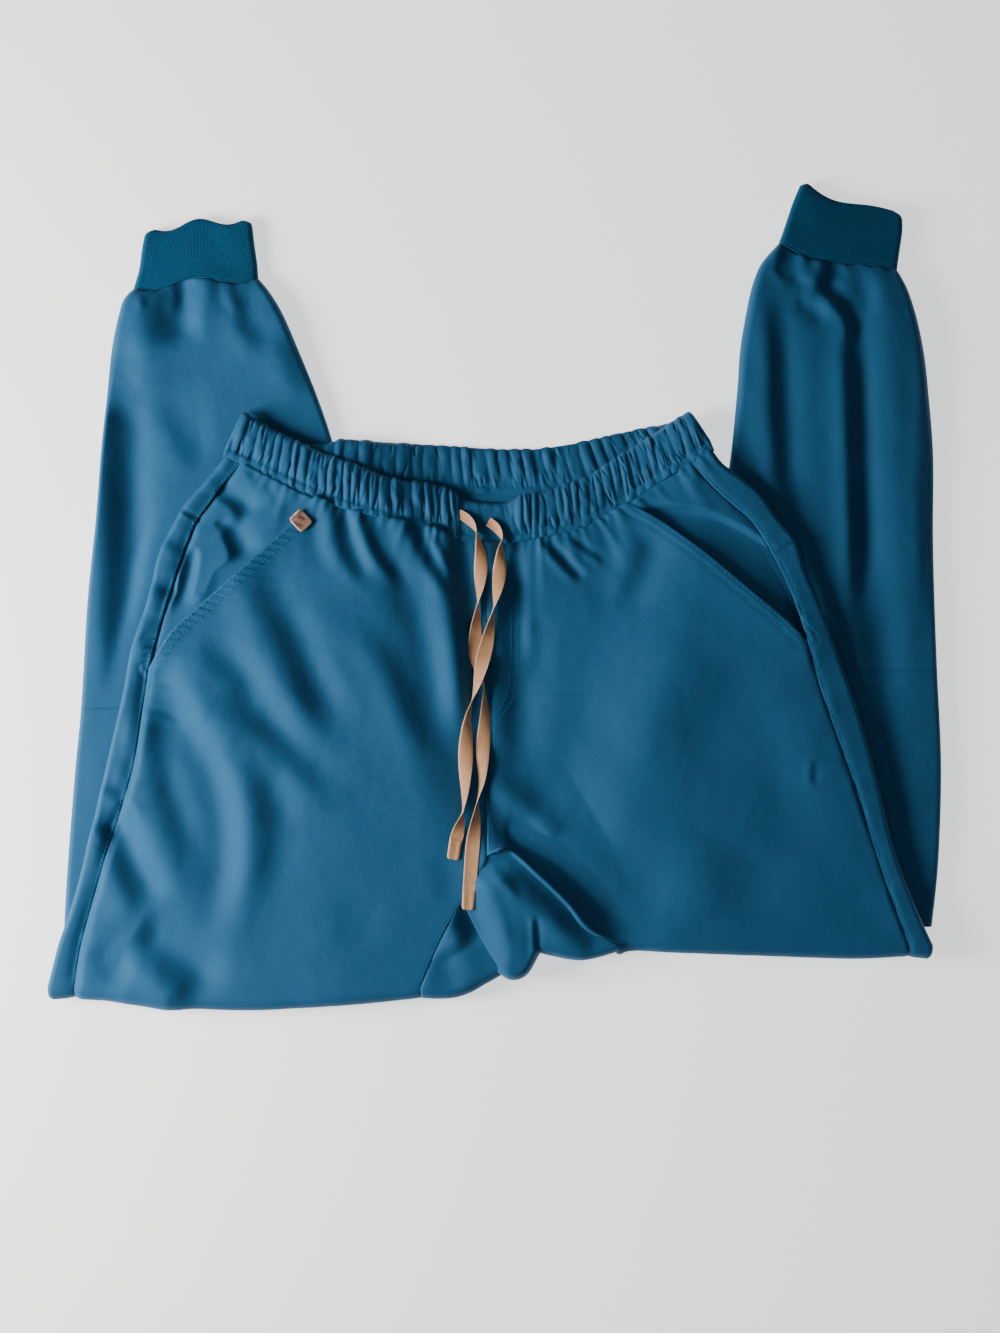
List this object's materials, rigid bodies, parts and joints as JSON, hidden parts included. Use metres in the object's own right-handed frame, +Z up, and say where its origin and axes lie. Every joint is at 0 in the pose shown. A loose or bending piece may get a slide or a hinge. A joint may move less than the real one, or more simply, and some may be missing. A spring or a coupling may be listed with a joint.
{
  "type": "scrub jogger trousers, laid with the lower legs folded behind",
  "caption": "Blue scrub jogger trousers with gathered drawstring waistband, slanted pockets and ribbed cuffs, laid face up with the lower legs folded behind.",
  "frame": {"origin": "centre of the cloth's plan box, on the surface that the trousers rest on", "axes": "+Z up from the surface, +Y from the fold at the thighs towards the waistband and cuffs, +X towards the wearer's left"},
  "size_m": [0.6628, 0.6146, 0.0251],
  "materials": {
    "twill": "matte stretch twill",
    "rib": "matte rib knit",
    "tape": "matte woven tape",
    "tab": "satin woven tab"
  },
  "bodies": {
    "root": {"front_r": "twill", "front_l": "twill", "yoke_r": "twill", "yoke_l": "twill", "back_side_r": "twill", "back_side_l": "twill", "pocket_facing_r": "twill", "pocket_facing_l": "twill", "inner_thigh_r": "twill", "gusset": "twill", "back_layers": "twill", "waistband_front": "twill", "waistband_back": "twill", "knee_r": "twill", "knee_l": "twill", "calf_r": "twill", "calf_l": "twill", "cuff_r": "rib", "cuff_l": "rib", "drawstring_r": "tape", "drawstring_l": "tape", "tag": "tab"}
  },
  "joints": []
}
